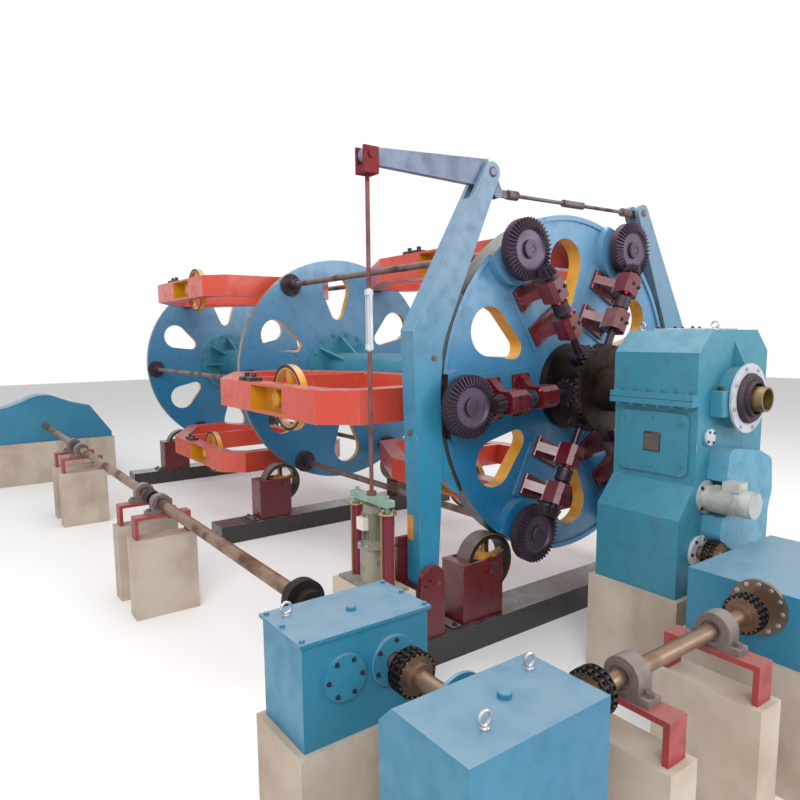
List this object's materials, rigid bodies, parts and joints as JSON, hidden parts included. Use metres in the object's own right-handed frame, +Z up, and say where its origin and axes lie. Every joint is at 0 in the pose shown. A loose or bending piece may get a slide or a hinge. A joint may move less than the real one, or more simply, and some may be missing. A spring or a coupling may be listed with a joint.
{
  "type": "cage cabling machine",
  "caption": "Cage stranding machine: orange cradles between three blue discs on rollers, bevel gear train, main gearbox, drum brake with levers and a line shaft",
  "frame": {"origin": "the middle of the main gearbox's foundation block, on the floor, below the machine's axis", "axes": "+X along the machine towards the wire outlet, +Y to the right seen from there, +Z up"},
  "size_m": [10.47, 5.4179, 3.307],
  "materials": {
    "blue_paint": "gloss, worn",
    "teal_paint": "semi-gloss",
    "orange_paint": "gloss, chipped",
    "maroon_paint": "gloss",
    "red_paint": "semi-gloss",
    "green_paint": "worn",
    "grey_paint": "dull",
    "silver_paint": "satin",
    "lever_paint": "worn",
    "dark_steel": "oiled",
    "bronze_gear": "oiled, dark",
    "bare_steel": "slightly rusty",
    "roller_steel": "worn",
    "concrete": "rough cast"
  },
  "bodies": {
    "frame": {"foundation_blocks": "concrete", "gearbox_body": "teal_paint", "gearbox_upper": "teal_paint", "bearing_nose": "teal_paint", "gear_guard": "teal_paint", "barring_motor": "silver_paint", "sun_gear": "bronze_gear", "right_angle_box": "teal_paint", "corner_box": "teal_paint", "transfer_box": "teal_paint", "rear_gearbox": "teal_paint", "line_shaft_stands": "red_paint", "cross_shaft_stands": "red_paint", "front_roller_stand": "maroon_paint", "middle_roller_stand": "maroon_paint", "rear_roller_stand": "maroon_paint", "lever_brackets": "maroon_paint", "thruster": "grey_paint"},
    "cage": {"front_disc": "blue_paint", "middle_disc": "blue_paint", "rear_disc": "blue_paint", "central_tube": "teal_paint", "main_shaft": "dark_steel", "spindle_bearings": "bronze_gear", "pinion_brackets": "maroon_paint"},
    "spindle_unit_1": {"spindle_1": "dark_steel", "cradle_1": "orange_paint"},
    "spindle_unit_2": {"spindle_2": "dark_steel", "cradle_2": "orange_paint"},
    "spindle_unit_3": {"spindle_3": "dark_steel", "cradle_3": "orange_paint"},
    "spindle_unit_4": {"spindle_4": "dark_steel", "cradle_4": "orange_paint"},
    "spindle_unit_5": {"spindle_5": "dark_steel", "cradle_5": "orange_paint"},
    "spindle_unit_6": {"spindle_6": "dark_steel", "cradle_6": "orange_paint"},
    "radial_shaft_1": {"pinion_shaft_1": "dark_steel"},
    "radial_shaft_2": {"pinion_shaft_2": "dark_steel"},
    "radial_shaft_3": {"pinion_shaft_3": "dark_steel"},
    "radial_shaft_4": {"pinion_shaft_4": "dark_steel"},
    "radial_shaft_5": {"pinion_shaft_5": "dark_steel"},
    "radial_shaft_6": {"pinion_shaft_6": "dark_steel"},
    "front_left_wheel": {"front_left_roller": "roller_steel"},
    "front_right_wheel": {"front_right_roller": "roller_steel"},
    "middle_left_wheel": {"middle_left_roller": "roller_steel"},
    "middle_right_wheel": {"middle_right_roller": "roller_steel"},
    "rear_left_wheel": {"rear_left_roller": "roller_steel"},
    "rear_right_wheel": {"rear_right_roller": "roller_steel"},
    "line_turning": {"line_shaft": "bare_steel"},
    "corner_turning": {"corner_shaft": "bare_steel"},
    "cross_turning": {"cross_shaft": "bare_steel"},
    "output_turning": {"output_shaft": "bare_steel"},
    "left_lever": {"left_brake_lever": "lever_paint"},
    "right_lever": {"right_brake_lever": "lever_paint"},
    "crank": {"bell_crank": "lever_paint"},
    "tie": {"tie_rod": "bare_steel"},
    "pull": {"pull_rod": "bare_steel"},
    "head": {"crosshead": "green_paint"}
  },
  "joints": [
    {"name": "cage_spin", "type": "hinge", "parent": "frame", "child": "cage", "pos_m": [-0.98, 0, 1.775], "axis": [1, 0, 0], "continuous": true},
    {"name": "spindle_1_spin", "type": "hinge", "parent": "cage", "child": "spindle_unit_1", "pos_m": [-0.98, 1.13792, 1.8438], "axis": [1, 0, 0], "continuous": true},
    {"name": "spindle_2_spin", "type": "hinge", "parent": "cage", "child": "spindle_unit_2", "pos_m": [-0.98, 0.50938, 2.79487], "axis": [1, 0, 0], "continuous": true},
    {"name": "spindle_3_spin", "type": "hinge", "parent": "cage", "child": "spindle_unit_3", "pos_m": [-0.98, -0.62854, 2.72607], "axis": [1, 0, 0], "continuous": true},
    {"name": "spindle_4_spin", "type": "hinge", "parent": "cage", "child": "spindle_unit_4", "pos_m": [-0.98, -1.13792, 1.7062], "axis": [1, 0, 0], "continuous": true},
    {"name": "spindle_5_spin", "type": "hinge", "parent": "cage", "child": "spindle_unit_5", "pos_m": [-0.98, -0.50938, 0.75513], "axis": [1, 0, 0], "continuous": true},
    {"name": "spindle_6_spin", "type": "hinge", "parent": "cage", "child": "spindle_unit_6", "pos_m": [-0.98, 0.62854, 0.82393], "axis": [1, 0, 0], "continuous": true},
    {"name": "radial_shaft_1_spin", "type": "hinge", "parent": "cage", "child": "radial_shaft_1", "pos_m": [-0.745, 0.69872, 1.81725], "axis": [0, 0.9982, 0.0604], "continuous": true},
    {"name": "radial_shaft_2_spin", "type": "hinge", "parent": "cage", "child": "radial_shaft_2", "pos_m": [-0.745, 0.31278, 2.40124], "axis": [0, 0.4468, 0.8946], "continuous": true},
    {"name": "radial_shaft_3_spin", "type": "hinge", "parent": "cage", "child": "radial_shaft_3", "pos_m": [-0.745, -0.38595, 2.35899], "axis": [0, -0.5514, 0.8343], "continuous": true},
    {"name": "radial_shaft_4_spin", "type": "hinge", "parent": "cage", "child": "radial_shaft_4", "pos_m": [-0.745, -0.69872, 1.73275], "axis": [0, -0.9982, -0.0604], "continuous": true},
    {"name": "radial_shaft_5_spin", "type": "hinge", "parent": "cage", "child": "radial_shaft_5", "pos_m": [-0.745, -0.31278, 1.14876], "axis": [0, -0.4468, -0.8946], "continuous": true},
    {"name": "radial_shaft_6_spin", "type": "hinge", "parent": "cage", "child": "radial_shaft_6", "pos_m": [-0.745, 0.38595, 1.19101], "axis": [0, 0.5514, -0.8343], "continuous": true},
    {"name": "front_left_roller_spin", "type": "hinge", "parent": "frame", "child": "front_left_wheel", "pos_m": [-1.035, -0.806, 0.55488], "axis": [1, 0, 0], "continuous": true},
    {"name": "front_right_roller_spin", "type": "hinge", "parent": "frame", "child": "front_right_wheel", "pos_m": [-1.035, 0.806, 0.55488], "axis": [1, 0, 0], "continuous": true},
    {"name": "middle_left_roller_spin", "type": "hinge", "parent": "frame", "child": "middle_left_wheel", "pos_m": [-4.336, -0.806, 0.55488], "axis": [1, 0, 0], "continuous": true},
    {"name": "middle_right_roller_spin", "type": "hinge", "parent": "frame", "child": "middle_right_wheel", "pos_m": [-4.336, 0.806, 0.55488], "axis": [1, 0, 0], "continuous": true},
    {"name": "rear_left_roller_spin", "type": "hinge", "parent": "frame", "child": "rear_left_wheel", "pos_m": [-7.783, -0.806, 0.55488], "axis": [1, 0, 0], "continuous": true},
    {"name": "rear_right_roller_spin", "type": "hinge", "parent": "frame", "child": "rear_right_wheel", "pos_m": [-7.783, 0.806, 0.55488], "axis": [1, 0, 0], "continuous": true},
    {"name": "line_shaft_spin", "type": "hinge", "parent": "frame", "child": "line_turning", "pos_m": [-4, -2.525, 0.875], "axis": [1, 0, 0], "continuous": true},
    {"name": "corner_shaft_spin", "type": "hinge", "parent": "frame", "child": "corner_turning", "pos_m": [0.382, -2.525, 0.875], "axis": [1, 0, 0], "continuous": true},
    {"name": "cross_shaft_spin", "type": "hinge", "parent": "frame", "child": "cross_turning", "pos_m": [0.882, -1.55, 0.875], "axis": [0, 1, 0], "continuous": true},
    {"name": "output_shaft_spin", "type": "hinge", "parent": "frame", "child": "output_turning", "pos_m": [0.382, -0.325, 0.875], "axis": [1, 0, 0], "continuous": true},
    {"name": "left_lever_swing", "type": "hinge", "parent": "frame", "child": "left_lever", "pos_m": [-1.01, -1.38, 0.58], "axis": [-1, 0, 0], "range_deg": [0, 0.0733]},
    {"name": "right_lever_swing", "type": "hinge", "parent": "frame", "child": "right_lever", "pos_m": [-1.01, 1.38, 0.58], "axis": [1, 0, 0], "range_deg": [0, 0.0778]},
    {"name": "bell_crank_swing", "type": "hinge", "parent": "left_lever", "child": "crank", "pos_m": [-1.01, -0.838, 3.219], "axis": [-1, 0, 0], "range_deg": [0, 3.3]},
    {"name": "tie_rod_swing", "type": "hinge", "parent": "crank", "child": "tie", "pos_m": [-1.01, -0.746, 3.107], "axis": [1, 0, 0], "range_deg": [0, 3.56]},
    {"name": "pull_rod_swing", "type": "hinge", "parent": "crank", "child": "pull", "pos_m": [-1.01, -1.778, 3.195], "axis": [1, 0, 0], "range_deg": [0, 3.27]},
    {"name": "crosshead_lift", "type": "slide", "parent": "frame", "child": "head", "axis": [0, 0, 1], "range_m": [0, 0.05472]}
  ],
  "couplings": [
    {"joint": "spindle_1_spin", "follows": "cage_spin", "ratio": -1},
    {"joint": "spindle_2_spin", "follows": "cage_spin", "ratio": -1},
    {"joint": "spindle_3_spin", "follows": "cage_spin", "ratio": -1},
    {"joint": "spindle_4_spin", "follows": "cage_spin", "ratio": -1},
    {"joint": "spindle_5_spin", "follows": "cage_spin", "ratio": -1},
    {"joint": "spindle_6_spin", "follows": "cage_spin", "ratio": -1},
    {"joint": "radial_shaft_1_spin", "follows": "cage_spin", "ratio": 3.5},
    {"joint": "radial_shaft_2_spin", "follows": "cage_spin", "ratio": 3.5},
    {"joint": "radial_shaft_3_spin", "follows": "cage_spin", "ratio": 3.5},
    {"joint": "radial_shaft_4_spin", "follows": "cage_spin", "ratio": 3.5},
    {"joint": "radial_shaft_5_spin", "follows": "cage_spin", "ratio": 3.5},
    {"joint": "radial_shaft_6_spin", "follows": "cage_spin", "ratio": 3.5},
    {"joint": "front_left_roller_spin", "follows": "cage_spin", "ratio": -5.8962},
    {"joint": "front_right_roller_spin", "follows": "cage_spin", "ratio": -5.8962},
    {"joint": "middle_left_roller_spin", "follows": "cage_spin", "ratio": -5.8962},
    {"joint": "middle_right_roller_spin", "follows": "cage_spin", "ratio": -5.8962},
    {"joint": "rear_left_roller_spin", "follows": "cage_spin", "ratio": -5.8962},
    {"joint": "rear_right_roller_spin", "follows": "cage_spin", "ratio": -5.8962},
    {"joint": "corner_shaft_spin", "follows": "line_shaft_spin", "ratio": 1},
    {"joint": "cross_shaft_spin", "follows": "line_shaft_spin", "ratio": 1},
    {"joint": "output_shaft_spin", "follows": "line_shaft_spin", "ratio": 1},
    {"joint": "left_lever_swing", "follows": "bell_crank_swing", "ratio": 0.022161},
    {"joint": "right_lever_swing", "follows": "bell_crank_swing", "ratio": 0.023531},
    {"joint": "tie_rod_swing", "follows": "bell_crank_swing", "ratio": 1.0789},
    {"joint": "pull_rod_swing", "follows": "bell_crank_swing", "ratio": 0.99128},
    {"joint": "crosshead_lift", "follows": "bell_crank_swing", "m_per_rad": 0.949}
  ]
}
